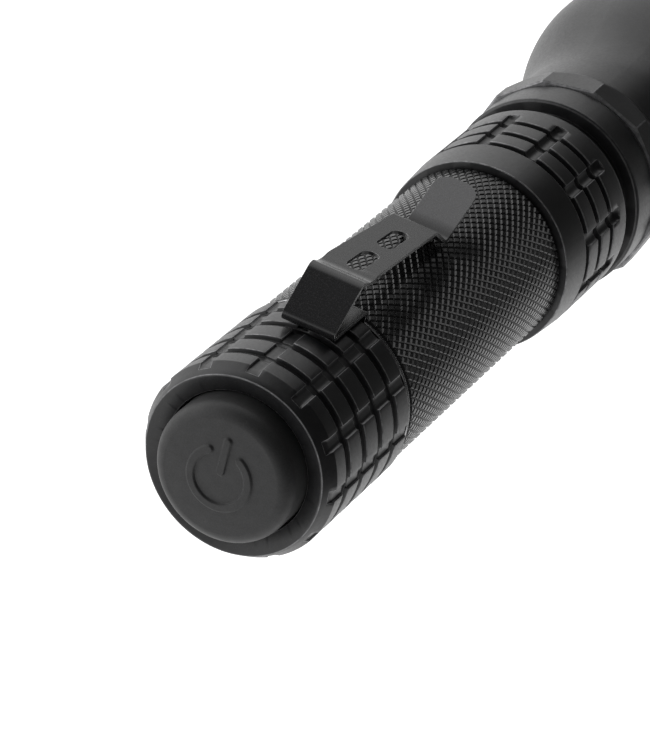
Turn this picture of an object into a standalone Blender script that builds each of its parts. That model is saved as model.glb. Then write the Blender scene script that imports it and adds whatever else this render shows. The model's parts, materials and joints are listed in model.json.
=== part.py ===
"""A tactical flashlight that stands on its bezel: +Z runs from the lens to the tail switch.

The origin is the centre of the bezel's front face. The pocket clip is on the -Y side.
Every length is in metres and every angle in degrees, unless a name says otherwise.
"""

import math

import bmesh
import bpy
from mathutils import Matrix, Vector

# Clearances
GAP = 0.0003
THREAD_GAP = 0.0003

# Driving dimensions
TAIL_Z = 0.152
TUBE_RADIUS = 0.0127
BATTERY_RADIUS = 0.0093
BATTERY_LENGTH = 0.0673
HEAD_RADIUS = 0.0140
HEAD_REAR_RADIUS = 0.0136
BELL_RADIUS = 0.01905

# Round pieces
SIDES = 36
SMALL_SIDES = 20
SHARP_ANGLE = 32.0

# Thread necks that join tail cap, tube and head
NECK_RADIUS = 0.0107
NECK_BORE = NECK_RADIUS + THREAD_GAP
TUBE_BORE = BATTERY_RADIUS + GAP
SEAL_RADIUS = 0.00035
SEAL_CENTRE = NECK_BORE + SEAL_RADIUS + 0.00003
SEAL_SEAT = SEAL_CENTRE + SEAL_RADIUS + 0.00010

# Tail cap, measured forward from the tail rim
CAP_LENGTH = 0.0232
CAP_RADIUS = 0.01305
CAP_RIM_RADIUS = 0.0120
CAP_CHAMFER = 0.0020
CAP_GROOVES = 4
CAP_GROOVE_START = 0.0045
CAP_GROOVE_PITCH = 0.0046
CAP_GROOVE_WIDTH = 0.0015
CAP_GROOVE_RADIUS = 0.01240
CAP_SLOT_FLOOR = 0.01262
CAP_SLOT_PHASE = 56.2
CAP_SLOT_WIDTH = 0.00165
CAP_EDGE = 0.0003
CAP_SEAL_REAR = 0.0206

# Tail switch, measured forward from the tail rim
BOOT_RADIUS = 0.00935
BOOT_EDGE = 0.0026
BOOT_CROWN = 0.0041
BOOT_SHELF = 0.0028
BOOT_FLANGE_RADIUS = 0.0105
BOOT_EDGE_ROUND = 0.0011
BOOT_WALL = 0.0016
SWITCH_POCKET_RADIUS = 0.0106
SWITCH_POCKET_END = 0.0134
SWITCH_TOP = 0.0055
SWITCH_BOTTOM = 0.0100
PLUNGER_RADIUS = 0.0030

# Pocket clip, measured forward from the tail rim and outward from the axis
STRIP = 0.0005
CLIP_RING_FRONT = 0.0241
CLIP_RING_RADIUS = 0.0127
CLIP_LEAF_HEIGHT = 0.01335
CLIP_LEAF_WIDTH = 0.0075
CLIP_BEND_FRONT = 0.0147
CLIP_BEND_RADIUS = 0.00045
CLIP_ARM_REAR_WIDTH = 0.0073
CLIP_ARM_FRONT_WIDTH = 0.0060
CLIP_TAPER_START = 0.0190
CLIP_TAPER_END = 0.0453
CLIP_HUMP = (0.0204, 0.01710)
CLIP_HUMP_RADIUS = 0.0020
CLIP_FLAT_REAR = (0.0256, 0.01798)
CLIP_FLAT_FRONT = (0.0450, 0.01633)
CLIP_FRONT_BEND_RADIUS = 0.0008
CLIP_VALLEY = (0.0496, 0.01475)
CLIP_VALLEY_RADIUS = 0.00125
CLIP_TONGUE_SLOPE = 24.8
CLIP_TONGUE_LENGTH = 0.00926
CLIP_TIP_ROUND = 0.0022
CLIP_WINDOWS = (0.0281, 0.0375)
CLIP_WINDOW_LENGTH = 0.0068
CLIP_WINDOW_WIDTH = 0.0024

# Body tube, measured forward from the tail rim
TUBE_REAR = 0.0136
TUBE_SHOULDER_REAR = 0.0244
TUBE_SHOULDER_FRONT = 0.0730
TUBE_FRONT = 0.0845

# Head body, measured forward from the tail rim
HEAD_REAR = TUBE_SHOULDER_FRONT + GAP
HEAD_GROOVES = 3
HEAD_GROOVE_START = 0.0792
HEAD_GROOVE_PITCH = 0.00435
HEAD_GROOVE_WIDTH = 0.00135
HEAD_GROOVE_RADIUS = 0.0129
HEAD_SLOT_FLOOR = 0.0133
HEAD_SLOT_PHASE = 7.6
HEAD_SLOT_WIDTH = 0.00183
HEAD_SLOT_FRONT = 0.0917
NECK_FILLET = 0.0014
HEAD_NECK_REAR = 0.0948
HEAD_NECK_FRONT = 0.0974
HEAD_NECK_RADIUS = 0.0124
HEAD_SEAL_FRONT = 0.0762
RING_RADIUS = 0.01435
RING_FRONT = 0.1031
BELL_REAR = 0.1034
SPIGOT_RADIUS = 0.0123
SPIGOT_FRONT = 0.1140
BULKHEAD_REAR = 0.0940
BULKHEAD_FRONT = 0.0960
DRIVER_POCKET_RADIUS = 0.0109
WIRE_WAY_RADIUS = 0.0060
SPIGOT_BORE = 0.0095

# Bell housing, measured up from the bezel's front face
FLAT_COUNT = 12
FLAT_PHASE = 4.9
FLAT_CORNER_RADIUS = 0.01515
FLAT_END = 0.0450
WAIST_REAR = 0.0424
WAIST_RADIUS = 0.0141
FLARE_REAR = 0.0350
FLARE_STEPS = 6
BELL_FULL_Z = 0.0135
BELL_FRONT = 0.0063
BELL_BORE = 0.0180
BELL_BORE_TOP = 0.0150
BELL_SEAL_RADIUS = 0.0134
BELL_SEAL_DEPTH = 0.0024
BELL_GROOVE_REAR = 0.0112
BELL_GROOVE_WIDTH = 0.0012
BELL_GROOVE_DEPTH = 0.0006
SINK_POCKET_RADIUS = 0.0130
SINK_POCKET_TOP = 0.0370
SINK_POCKET_FRONT = 0.0327

# Light engine and optics, measured up from the bezel's front face
BEZEL_OPENING = 0.0148
BEZEL_LIP = 0.0024
BEZEL_CHAMFER = 0.0009
BEZEL_SPIGOT_RADIUS = 0.0177
BEZEL_SPIGOT_TOP = 0.0100
LENS_RADIUS = 0.0165
LENS_BACK = 0.0066
LENS_FRONT = 0.0046
REFLECTOR_FRONT = LENS_BACK + GAP
REFLECTOR_BACK = 0.0295
REFLECTOR_OPENING = 0.0152
REFLECTOR_FOCUS_Z = 0.0292
REFLECTOR_WALL = 0.0008
BOARD_FRONT = 0.0313
BOARD_RADIUS = 0.0080
SCREW_CIRCLE = 0.0062
WIRE_CIRCLE = 0.0062
WIRE_RADIUS = 0.0005

EDGE = 0.0002
SLOT_CUTTER_DEPTH = 0.004

BLACK = (0.018, 0.018, 0.019)


def clear_scene():
    for obj in list(bpy.data.objects):
        bpy.data.objects.remove(obj, do_unlink=True)


def at(distance):
    """Height of a station that is measured forward from the tail rim."""
    return TAIL_Z - distance


def around(angle, radius=1.0):
    """A point at this angle from the clip side, turning towards -X."""
    turn = math.radians(angle)
    return Vector((-radius * math.sin(turn), -radius * math.cos(turn), 0.0))


def material(name, colour, roughness, metallic=0.0, alpha=1.0):
    made = bpy.data.materials.new(name)
    made.use_nodes = True
    made.diffuse_color = (*colour, alpha)
    shader = made.node_tree.nodes["Principled BSDF"]
    shader.inputs["Base Color"].default_value = (*colour, 1.0)
    shader.inputs["Roughness"].default_value = roughness
    shader.inputs["Metallic"].default_value = metallic
    shader.inputs["Alpha"].default_value = alpha
    return made


def add_object(name, bm, surface, smooth=True):
    """Turns a finished bmesh into an object with one material."""
    bmesh.ops.remove_doubles(bm, verts=bm.verts, dist=1e-7)
    bmesh.ops.recalc_face_normals(bm, faces=bm.faces)
    mesh = bpy.data.meshes.new(name)
    bm.to_mesh(mesh)
    bm.free()
    if smooth:
        for polygon in mesh.polygons:
            polygon.use_smooth = True
        mesh.set_sharp_from_angle(angle=math.radians(SHARP_ANGLE))
    mesh.materials.append(surface)
    obj = bpy.data.objects.new(name, mesh)
    bpy.context.scene.collection.objects.link(obj)
    return obj


def lathe(name, outline, surface, sides=SIDES):
    """Spins a closed outline of (radius, height) points about the Z axis."""
    bm = bmesh.new()
    ring = [bm.verts.new((radius, 0.0, height)) for radius, height in outline]
    edges = [bm.edges.new((a, b)) for a, b in zip(ring, ring[1:] + ring[:1]) if a.co.x + b.co.x > 1e-9]
    bmesh.ops.spin(
        bm,
        geom=ring + edges,
        axis=(0.0, 0.0, 1.0),
        cent=(0.0, 0.0, 0.0),
        angle=2.0 * math.pi,
        steps=sides,
        use_merge=True,
    )
    return add_object(name, bm, surface)


def arc(centre, radius, start, end, steps):
    """Points of (radius, height) along an arc, with angles measured from +radius towards +height."""
    points = []
    for i in range(steps + 1):
        turn = math.radians(start + (end - start) * i / steps)
        points.append((centre[0] + radius * math.cos(turn), centre[1] + radius * math.sin(turn)))
    return points


def disc(name, radius, low, high, surface, sides=SMALL_SIDES):
    return lathe(name, [(0.0, low), (radius, low), (radius, high), (0.0, high)], surface, sides)


def washer(name, inner, outer, low, high, surface, sides=SMALL_SIDES):
    return lathe(name, [(inner, low), (outer, low), (outer, high), (inner, high)], surface, sides)


def seal(name, centre_radius, height, surface, radius=SEAL_RADIUS):
    """An O-ring of round section."""
    return lathe(name, arc((centre_radius, height), radius, 0.0, 300.0, 5), surface)


def grooves(radius, floor, start, pitch, width, count):
    """Outline points of square ring grooves, from the tail side forward."""
    points = []
    for index in range(count):
        rear = at(start + index * pitch)
        front = rear - width
        points += [(radius, rear), (floor, rear), (floor, front), (radius, front)]
    return points


def box_into(bm, size, place):
    bmesh.ops.create_cube(bm, size=1.0, matrix=place @ Matrix.Diagonal((*size, 1.0)))


def hide_cutter(obj):
    obj.hide_render = True
    obj.display_type = "WIRE"


def cut(obj, cutter):
    hide_cutter(cutter)
    modifier = obj.modifiers.new("cut_" + cutter.name, "BOOLEAN")
    modifier.operation = "DIFFERENCE"
    modifier.solver = "EXACT"
    modifier.object = cutter


def slot_cutter(name, phase, width, floor, rear, front, surface):
    """Twelve axial box cutters in a ring, whose inner faces lie at the floor radius."""
    bm = bmesh.new()
    for index in range(FLAT_COUNT):
        angle = phase + index * 360.0 / FLAT_COUNT
        reach = around(angle, floor + SLOT_CUTTER_DEPTH / 2)
        middle = reach + Vector((0.0, 0.0, (rear + front) / 2))
        turn = Matrix.Rotation(-math.radians(angle), 4, "Z")
        size = (width, SLOT_CUTTER_DEPTH, abs(rear - front))
        box_into(bm, size, Matrix.Translation(middle) @ turn)
    return add_object(name, bm, surface, smooth=False)


def coil(name, radius, wire, low, high, turns, surface, top_radius=None):
    """A round-wire compression spring, drawn as a bevelled curve."""
    top_radius = top_radius or radius
    points_per_turn = 9
    count = int(turns * points_per_turn) + 1
    curve = bpy.data.curves.new(name, "CURVE")
    curve.dimensions = "3D"
    curve.bevel_depth = wire
    curve.bevel_resolution = 1
    curve.use_fill_caps = True
    spline = curve.splines.new("POLY")
    spline.points.add(count - 1)
    for index, point in enumerate(spline.points):
        share = index / (count - 1)
        turn = 2.0 * math.pi * index / points_per_turn
        reach = radius + (top_radius - radius) * share
        height = low + wire + (high - low - 2.0 * wire) * share
        point.co = (reach * math.cos(turn), reach * math.sin(turn), height, 1.0)
    curve.materials.append(surface)
    obj = bpy.data.objects.new(name, curve)
    bpy.context.scene.collection.objects.link(obj)
    return obj


# Tail cap and switch


def build_tail_cap(surface):
    front = at(CAP_LENGTH)
    seal_rear = at(CAP_SEAL_REAR)
    outline = [(CAP_RIM_RADIUS, TAIL_Z), (CAP_RADIUS, at(CAP_CHAMFER))]
    outline += grooves(
        CAP_RADIUS,
        CAP_GROOVE_RADIUS,
        CAP_GROOVE_START,
        CAP_GROOVE_PITCH,
        CAP_GROOVE_WIDTH,
        CAP_GROOVES,
    )
    outline += [(CAP_RADIUS, front + CAP_EDGE), (CAP_RADIUS - CAP_EDGE, front)]
    outline += [(SEAL_SEAT, front), (SEAL_SEAT, seal_rear), (NECK_BORE, seal_rear)]
    outline += [(NECK_BORE, at(SWITCH_POCKET_END)), (SWITCH_POCKET_RADIUS, at(SWITCH_POCKET_END))]
    outline += [(SWITCH_POCKET_RADIUS, at(BOOT_SHELF))]
    outline += [(BOOT_RADIUS + GAP, at(BOOT_SHELF)), (BOOT_RADIUS + GAP, at(0.0005))]
    cap = lathe("tail_cap", outline, surface)
    slots = slot_cutter(
        "tail_cap_slot_cutter",
        CAP_SLOT_PHASE,
        CAP_SLOT_WIDTH,
        CAP_SLOT_FLOOR,
        TAIL_Z + 0.001,
        front - 0.001,
        surface,
    )
    cut(cap, slots)


def build_boot(surface):
    edge = TAIL_Z + BOOT_EDGE
    crown = TAIL_Z + BOOT_CROWN
    flange_top = at(BOOT_SHELF + GAP)
    flange_bottom = flange_top - 0.0010
    inner = BOOT_RADIUS - BOOT_WALL
    outline = [(0.0, crown), (BOOT_RADIUS * 0.45, crown - 0.00025)]
    outline += arc((BOOT_RADIUS - BOOT_EDGE_ROUND, edge - EDGE), BOOT_EDGE_ROUND, 75.0, 0.0, 4)
    outline += [(BOOT_RADIUS, flange_top), (BOOT_FLANGE_RADIUS, flange_top)]
    outline += [(BOOT_FLANGE_RADIUS, flange_bottom), (inner, flange_bottom)]
    outline += [(inner, TAIL_Z + 0.0014), (0.0, TAIL_Z + 0.0018)]
    lathe("switch_boot", outline, surface)


def build_switch(nylon, board, brass, steel):
    washer("boot_washer", 0.0082, 0.0104, at(0.0052), at(0.0044), brass)
    plunger = [
        (0.0, at(-0.0012)),
        (0.0064, at(-0.0012)),
        (0.0069, at(-0.0007)),
        (0.0069, at(0.0003)),
        (PLUNGER_RADIUS, at(0.0003)),
        (PLUNGER_RADIUS, at(0.0072)),
        (PLUNGER_RADIUS - 0.0004, at(0.0076)),
        (0.0, at(0.0076)),
    ]
    lathe("switch_plunger", plunger, nylon, SMALL_SIDES)
    coil("plunger_spring", 0.0044, 0.00025, at(0.0052), at(0.0006), 3.5, steel)
    washer("switch_housing", PLUNGER_RADIUS + GAP, 0.0103, at(SWITCH_BOTTOM), at(SWITCH_TOP), nylon)
    disc("switch_board", 0.0103, at(0.0115), at(0.0103), board)
    retainer = washer("switch_retainer", 0.0062, 0.0103, at(0.0132), at(0.0118), brass)
    bm = bmesh.new()
    middle = Matrix.Translation((0.0, 0.0, at(0.0132)))
    box_into(bm, (0.0016, 0.0300, 0.0014), middle)
    cut(retainer, add_object("retainer_notch_cutter", bm, brass, smooth=False))
    coil("tail_spring", 0.0048, 0.0004, at(0.0170), at(0.0118), 3.5, steel, 0.0036)


# Pocket clip


def clip_side(forward, outward, across):
    """A clip point, from its distances forward of the tail rim, out from the axis and across."""
    return Vector((-across, -outward, at(forward)))


def strip_object(name, line, width_at, surface):
    """Bends a flat strip along a line of (forward, outward) points on its outer face."""
    bm = bmesh.new()
    rows = []
    for index, (forward, outward) in enumerate(line):
        before = Vector(line[max(index - 1, 0)])
        after = Vector(line[min(index + 1, len(line) - 1)])
        along = (after - before).normalized()
        inward = Vector((along.y, -along.x)) * STRIP
        half = width_at(forward) / 2
        outer_left = bm.verts.new(clip_side(forward, outward, -half))
        outer_right = bm.verts.new(clip_side(forward, outward, half))
        inner_right = bm.verts.new(clip_side(forward + inward.x, outward + inward.y, half))
        inner_left = bm.verts.new(clip_side(forward + inward.x, outward + inward.y, -half))
        rows.append((outer_left, outer_right, inner_right, inner_left))
    for near, far in zip(rows, rows[1:]):
        for side in range(4):
            after = (side + 1) % 4
            bm.faces.new((near[side], near[after], far[after], far[side]))
    bm.faces.new(rows[0][::-1])
    bm.faces.new(rows[-1])
    return add_object(name, bm, surface)


def build_clip_base(surface):
    """A flat ring with a leaf that folds back over the tail cap."""
    ring = washer(
        "clip_base",
        NECK_BORE,
        CLIP_RING_RADIUS,
        at(CLIP_RING_FRONT),
        at(CLIP_RING_FRONT - STRIP),
        surface,
        SIDES,
    )
    line = [(CLIP_RING_FRONT, 0.0119), (CLIP_RING_FRONT, 0.0134)]
    centre = (CLIP_RING_FRONT - CLIP_BEND_RADIUS, CLIP_LEAF_HEIGHT + STRIP - CLIP_BEND_RADIUS)
    line += arc(centre, CLIP_BEND_RADIUS, 15.0, 90.0, 4)
    line += [(CLIP_BEND_FRONT + GAP, CLIP_LEAF_HEIGHT + STRIP)]
    line.reverse()
    leaf = strip_object("clip_leaf", line, lambda forward: CLIP_LEAF_WIDTH, surface)
    join = ring.modifiers.new("leaf", "BOOLEAN")
    join.operation = "UNION"
    join.solver = "EXACT"
    join.object = leaf
    hide_cutter(leaf)


def clip_arm_line():
    """The arm's outer face, from the tail bend to the tip."""
    bend_outer = CLIP_BEND_RADIUS + STRIP
    bend_height = CLIP_LEAF_HEIGHT + bend_outer
    line = arc((CLIP_BEND_FRONT, bend_height), bend_outer, 270.0, 126.0, 7)
    line += arc(CLIP_HUMP, CLIP_HUMP_RADIUS, 126.0, 66.0, 5)
    line += [(0.0222, 0.01850), (0.0233, 0.01812), (0.0244, 0.01798)]
    line += [CLIP_FLAT_REAR, CLIP_FLAT_FRONT]
    bend_centre = (CLIP_FLAT_FRONT[0], CLIP_FLAT_FRONT[1] - CLIP_FRONT_BEND_RADIUS)
    line += arc(bend_centre, CLIP_FRONT_BEND_RADIUS, 75.0, 45.0, 2)
    line += arc(CLIP_VALLEY, CLIP_VALLEY_RADIUS, 228.0, 296.0, 5)
    slope = math.radians(CLIP_TONGUE_SLOPE)
    start = line[-1]
    for share in (0.80, 0.87, 0.93, 0.97, 0.995):
        reach = share * CLIP_TONGUE_LENGTH
        line.append((start[0] + reach * math.cos(slope), start[1] + reach * math.sin(slope)))
    return line


def clip_arm_width(forward, tip):
    """The arm's width at a station: it tapers to the front bend, and its tip is rounded."""
    share = (forward - CLIP_TAPER_START) / (CLIP_TAPER_END - CLIP_TAPER_START)
    share = min(max(share, 0.0), 1.0)
    width = CLIP_ARM_REAR_WIDTH + (CLIP_ARM_FRONT_WIDTH - CLIP_ARM_REAR_WIDTH) * share
    into_round = min(max(1.0 - (tip - forward) / CLIP_TIP_ROUND, 0.0), 0.98)
    return width - 2.0 * CLIP_TIP_ROUND * (1.0 - math.sqrt(1.0 - into_round**2))


def window_cutter(number, middle, surface):
    """A straight-sided cutter with round ends, through the arm's flat part."""
    bm = bmesh.new()
    radius = CLIP_WINDOW_WIDTH / 2
    straight = CLIP_WINDOW_LENGTH - CLIP_WINDOW_WIDTH
    corners = []
    for end, first in ((0.5, 0.0), (-0.5, 180.0)):
        for step in range(7):
            turn = math.radians(first + 30.0 * step)
            along = straight * end + radius * math.sin(turn)
            corner = clip_side(middle - along, CLIP_FLAT_FRONT[1] - 0.001, radius * math.cos(turn))
            corners.append(bm.verts.new(corner))
    face = bm.faces.new(corners)
    grown = bmesh.ops.extrude_face_region(bm, geom=[face])
    moved = [item for item in grown["geom"] if isinstance(item, bmesh.types.BMVert)]
    bmesh.ops.translate(bm, verts=moved, vec=(0.0, -0.004, 0.0))
    return add_object(f"clip_window_cutter_{number}", bm, surface, smooth=False)


def build_clip_arm(surface):
    line = clip_arm_line()
    tip = line[-1][0]
    arm = strip_object("clip_arm", line, lambda forward: clip_arm_width(forward, tip), surface)
    for number, middle in enumerate(CLIP_WINDOWS, 1):
        cut(arm, window_cutter(number, middle, surface))


# Body tube and battery


def build_body_tube(surface):
    edge = 0.0003
    outline = [(TUBE_BORE, at(TUBE_REAR)), (NECK_RADIUS - edge, at(TUBE_REAR))]
    outline += [(NECK_RADIUS, at(TUBE_REAR + edge)), (NECK_RADIUS, at(TUBE_SHOULDER_REAR))]
    outline += [(TUBE_RADIUS - edge, at(TUBE_SHOULDER_REAR))]
    outline += [(TUBE_RADIUS, at(TUBE_SHOULDER_REAR + edge))]
    outline += [(TUBE_RADIUS, at(TUBE_SHOULDER_FRONT - edge))]
    outline += [(TUBE_RADIUS - edge, at(TUBE_SHOULDER_FRONT))]
    outline += [(NECK_RADIUS, at(TUBE_SHOULDER_FRONT)), (NECK_RADIUS, at(TUBE_FRONT - edge))]
    outline += [(NECK_RADIUS - edge, at(TUBE_FRONT)), (TUBE_BORE, at(TUBE_FRONT))]
    lathe("body_tube", outline, surface)


def build_battery(wrap, card, steel):
    rear = at(0.0173)
    front = rear - BATTERY_LENGTH
    recess = front + 0.0006
    outline = [(0.0, rear), (BATTERY_RADIUS - 0.0006, rear), (BATTERY_RADIUS, rear - 0.0006)]
    outline += [(BATTERY_RADIUS, front + 0.0003), (BATTERY_RADIUS - 0.0003, front)]
    outline += [(0.0086, front), (0.0086, recess), (0.0, recess)]
    lathe("battery_cell", outline, wrap)
    washer("battery_insulator", 0.0036, 0.0083, recess - 0.0007, recess - GAP, card)
    button = [(0.0, recess - GAP), (0.0030, recess - GAP), (0.0030, recess - 0.0012)]
    button += [(0.0026, recess - 0.0015), (0.0, recess - 0.0015)]
    lathe("battery_button", button, steel, SMALL_SIDES)


# Head


def build_head_body(surface):
    seal_front = at(HEAD_SEAL_FRONT)
    pocket_rear = at(TUBE_FRONT + 0.0005)
    outline = [(SEAL_SEAT, at(HEAD_REAR)), (HEAD_REAR_RADIUS - EDGE, at(HEAD_REAR))]
    outline += [(HEAD_REAR_RADIUS, at(HEAD_REAR + EDGE))]
    outline += grooves(
        HEAD_RADIUS,
        HEAD_GROOVE_RADIUS,
        HEAD_GROOVE_START,
        HEAD_GROOVE_PITCH,
        HEAD_GROOVE_WIDTH,
        HEAD_GROOVES,
    )
    fillet_end = at(HEAD_NECK_REAR)
    outline += arc((HEAD_RADIUS - NECK_FILLET, fillet_end + NECK_FILLET), NECK_FILLET, 0.0, -90.0, 4)
    outline += [(HEAD_NECK_RADIUS, fillet_end), (HEAD_NECK_RADIUS, at(HEAD_NECK_FRONT))]
    outline += [(RING_RADIUS - EDGE, at(HEAD_NECK_FRONT)), (RING_RADIUS, at(HEAD_NECK_FRONT + EDGE))]
    outline += [(RING_RADIUS, at(RING_FRONT - EDGE)), (RING_RADIUS - EDGE, at(RING_FRONT))]
    outline += [(SPIGOT_RADIUS, at(RING_FRONT)), (SPIGOT_RADIUS, at(SPIGOT_FRONT))]
    outline += [(SPIGOT_BORE, at(SPIGOT_FRONT)), (SPIGOT_BORE, at(BULKHEAD_FRONT))]
    outline += [(WIRE_WAY_RADIUS, at(BULKHEAD_FRONT)), (WIRE_WAY_RADIUS, at(BULKHEAD_REAR))]
    outline += [(DRIVER_POCKET_RADIUS, at(BULKHEAD_REAR)), (DRIVER_POCKET_RADIUS, pocket_rear)]
    outline += [(NECK_BORE, pocket_rear), (NECK_BORE, seal_front), (SEAL_SEAT, seal_front)]
    head = lathe("head_body", outline, surface)
    slots = slot_cutter(
        "head_slot_cutter",
        HEAD_SLOT_PHASE,
        HEAD_SLOT_WIDTH,
        HEAD_SLOT_FLOOR,
        at(HEAD_GROOVE_START + 0.0006),
        at(HEAD_SLOT_FRONT),
        surface,
    )
    cut(head, slots)


def build_driver(board, brass):
    washer("driver_retainer", 0.0082, 0.0106, at(0.0919), at(0.0904), brass)
    disc("driver_board", 0.0106, at(0.0937), at(0.0922), board)
    contact = [(0.0, at(0.0859)), (0.0012, at(0.0860)), (0.0019, at(0.0866)), (0.0019, at(0.0908))]
    contact += [(0.0032, at(0.0908)), (0.0032, at(0.0919)), (0.0, at(0.0919))]
    lathe("driver_contact", contact, brass, SMALL_SIDES)


def bell_flare():
    """The outer line of the bell, from the collar over the waist out to its full radius."""
    line = [(WAIST_RADIUS, WAIST_REAR)]
    for index in range(FLARE_STEPS + 1):
        share = index / FLARE_STEPS
        swell = 0.5 - 0.5 * math.cos(math.pi * share)
        radius = WAIST_RADIUS + (BELL_RADIUS - WAIST_RADIUS) * swell
        line.append((radius, FLARE_REAR + (BELL_FULL_Z - FLARE_REAR) * share))
    return line


def build_bell(surface):
    rear = at(BELL_REAR)
    ring = FLAT_CORNER_RADIUS
    seat = rear - BELL_SEAL_DEPTH
    groove_floor = BELL_RADIUS - BELL_GROOVE_DEPTH
    groove_front = BELL_GROOVE_REAR - BELL_GROOVE_WIDTH
    outline = [(BELL_SEAL_RADIUS, rear), (ring - 0.0006, rear), (ring, rear - 0.0006)]
    outline += [(ring, FLAT_END)]
    outline += bell_flare()
    outline += [(BELL_RADIUS, BELL_GROOVE_REAR), (groove_floor, BELL_GROOVE_REAR - EDGE)]
    outline += [(groove_floor, groove_front + EDGE), (BELL_RADIUS, groove_front)]
    outline += [(BELL_RADIUS, BELL_FRONT + EDGE), (BELL_RADIUS - EDGE, BELL_FRONT)]
    outline += [(BELL_BORE, BELL_FRONT), (BELL_BORE, BELL_BORE_TOP)]
    outline += [(SINK_POCKET_RADIUS, SINK_POCKET_FRONT)]
    outline += [(SINK_POCKET_RADIUS, SINK_POCKET_TOP), (SPIGOT_RADIUS + GAP, SINK_POCKET_TOP)]
    outline += [(SPIGOT_RADIUS + GAP, seat), (BELL_SEAL_RADIUS, seat)]
    bell = lathe("bell_housing", outline, surface)
    cut(bell, flat_cutter(rear, surface))


def flat_cutter(rear, surface):
    """Twelve boxes in a ring that cut the collar's flats and run out through its front chamfer."""
    bm = bmesh.new()
    apothem = FLAT_CORNER_RADIUS * math.cos(math.pi / FLAT_COUNT)
    length = rear + 0.001 - WAIST_REAR
    for index in range(FLAT_COUNT):
        angle = FLAT_PHASE + (index + 0.5) * 360.0 / FLAT_COUNT
        reach = around(angle, apothem + SLOT_CUTTER_DEPTH / 2)
        middle = reach + Vector((0.0, 0.0, WAIST_REAR + length / 2))
        turn = Matrix.Rotation(-math.radians(angle), 4, "Z")
        size = (0.0090, SLOT_CUTTER_DEPTH, length)
        box_into(bm, size, Matrix.Translation(middle) @ turn)
    return add_object("bell_flat_cutter", bm, surface, smooth=False)


def bore_cutter(name, places, radius, low, high, surface):
    """One mesh of round cutters, so that a piece needs a single Boolean."""
    bm = bmesh.new()
    for place in places:
        middle = Matrix.Translation((place.x, place.y, (low + high) / 2))
        bmesh.ops.create_cone(
            bm,
            cap_ends=True,
            segments=16,
            radius1=radius,
            radius2=radius,
            depth=high - low,
            matrix=middle,
        )
    return add_object(name, bm, surface, smooth=False)


def screw_places():
    return [Vector((SCREW_CIRCLE, 0.0, 0.0)), Vector((-SCREW_CIRCLE, 0.0, 0.0))]


def wire_places():
    return [Vector((0.0, WIRE_CIRCLE, 0.0)), Vector((0.0, -WIRE_CIRCLE, 0.0))]


def build_light_engine(aluminium, board, ceramic, silicone, nylon, steel):
    sink_front = SINK_POCKET_FRONT + GAP
    sink_back = SINK_POCKET_TOP - GAP
    boss_back = 0.0410
    sink_radius = SINK_POCKET_RADIUS - GAP
    outline = [(0.0, sink_front), (sink_radius, sink_front), (sink_radius, sink_back)]
    outline += [(SPIGOT_BORE - GAP, sink_back), (SPIGOT_BORE - GAP, boss_back), (0.0, boss_back)]
    sink = lathe("heat_sink", outline, aluminium)
    wire_bore = bore_cutter("wire_bore_cutter", wire_places(), 0.0013, 0.0300, 0.0420, aluminium)
    screw_bore = bore_cutter("screw_bore_cutter", screw_places(), 0.00125, 0.0290, 0.0352, aluminium)
    cut(sink, wire_bore)
    cut(sink, screw_bore)
    star = disc("led_board", BOARD_RADIUS, BOARD_FRONT, SINK_POCKET_FRONT, board)
    cut(star, screw_bore)
    bm = bmesh.new()
    package = (0.00345, 0.00345, 0.0006)
    box_into(bm, package, Matrix.Translation((0.0, 0.0, BOARD_FRONT - GAP - package[2] / 2)))
    bmesh.ops.bevel(bm, geom=bm.edges[:], offset=0.0001, segments=1, affect="EDGES")
    add_object("led_package", bm, ceramic, smooth=False)
    dome_back = BOARD_FRONT - 2 * GAP - package[2]
    dome = [(0.0, dome_back)] + arc((0.0, dome_back), 0.0015, 0.0, -90.0, 4)
    lathe("led_dome", dome[:-1] + [(0.0, dome_back - 0.0015)], silicone, SMALL_SIDES)
    washer("led_gasket", 0.0028, 0.0042, REFLECTOR_BACK + GAP, BOARD_FRONT - GAP, nylon)
    for number, place in enumerate(screw_places(), 1):
        head_front = BOARD_FRONT - GAP - 0.0010
        screw = [(0.0, head_front), (0.0011, head_front), (0.0015, head_front + 0.0004)]
        screw += [(0.0015, head_front + 0.0010), (0.00095, head_front + 0.0010)]
        screw += [(0.00095, 0.0345), (0.0, 0.0345)]
        made = lathe(f"led_screw_{number}", screw, steel, 16)
        made.location = place


def build_wires(red, black):
    """Two wires from the driver board, through the heat sink, to the back of the LED board."""
    wires = zip(("led_wire_positive", "led_wire_negative"), wire_places(), (red, black))
    for name, place, surface in wires:
        side = 1.0 if place.y > 0.0 else -1.0
        curve = bpy.data.curves.new(name, "CURVE")
        curve.dimensions = "3D"
        curve.bevel_depth = WIRE_RADIUS
        curve.bevel_resolution = 1
        curve.resolution_u = 4
        curve.use_fill_caps = True
        spline = curve.splines.new("BEZIER")
        stations = ((place.y, 0.0331), (place.y, 0.0420), (side * 0.0040, 0.0520), (side * 0.0036, 0.0579))
        spline.bezier_points.add(len(stations) - 1)
        for point, (across, height) in zip(spline.bezier_points, stations):
            point.co = (0.0, across, height)
            point.handle_left_type = "AUTO"
            point.handle_right_type = "AUTO"
        for end in (spline.bezier_points[0], spline.bezier_points[1]):
            end.handle_left_type = "FREE"
            end.handle_right_type = "FREE"
            end.handle_left = end.co - Vector((0.0, 0.0, 0.002))
            end.handle_right = end.co + Vector((0.0, 0.0, 0.002))
        curve.materials.append(surface)
        obj = bpy.data.objects.new(name, curve)
        bpy.context.scene.collection.objects.link(obj)


def reflector_curve(focal, radius):
    """Height of the parabola at this radius."""
    return REFLECTOR_FOCUS_Z + focal - radius**2 / (4.0 * focal)


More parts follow.
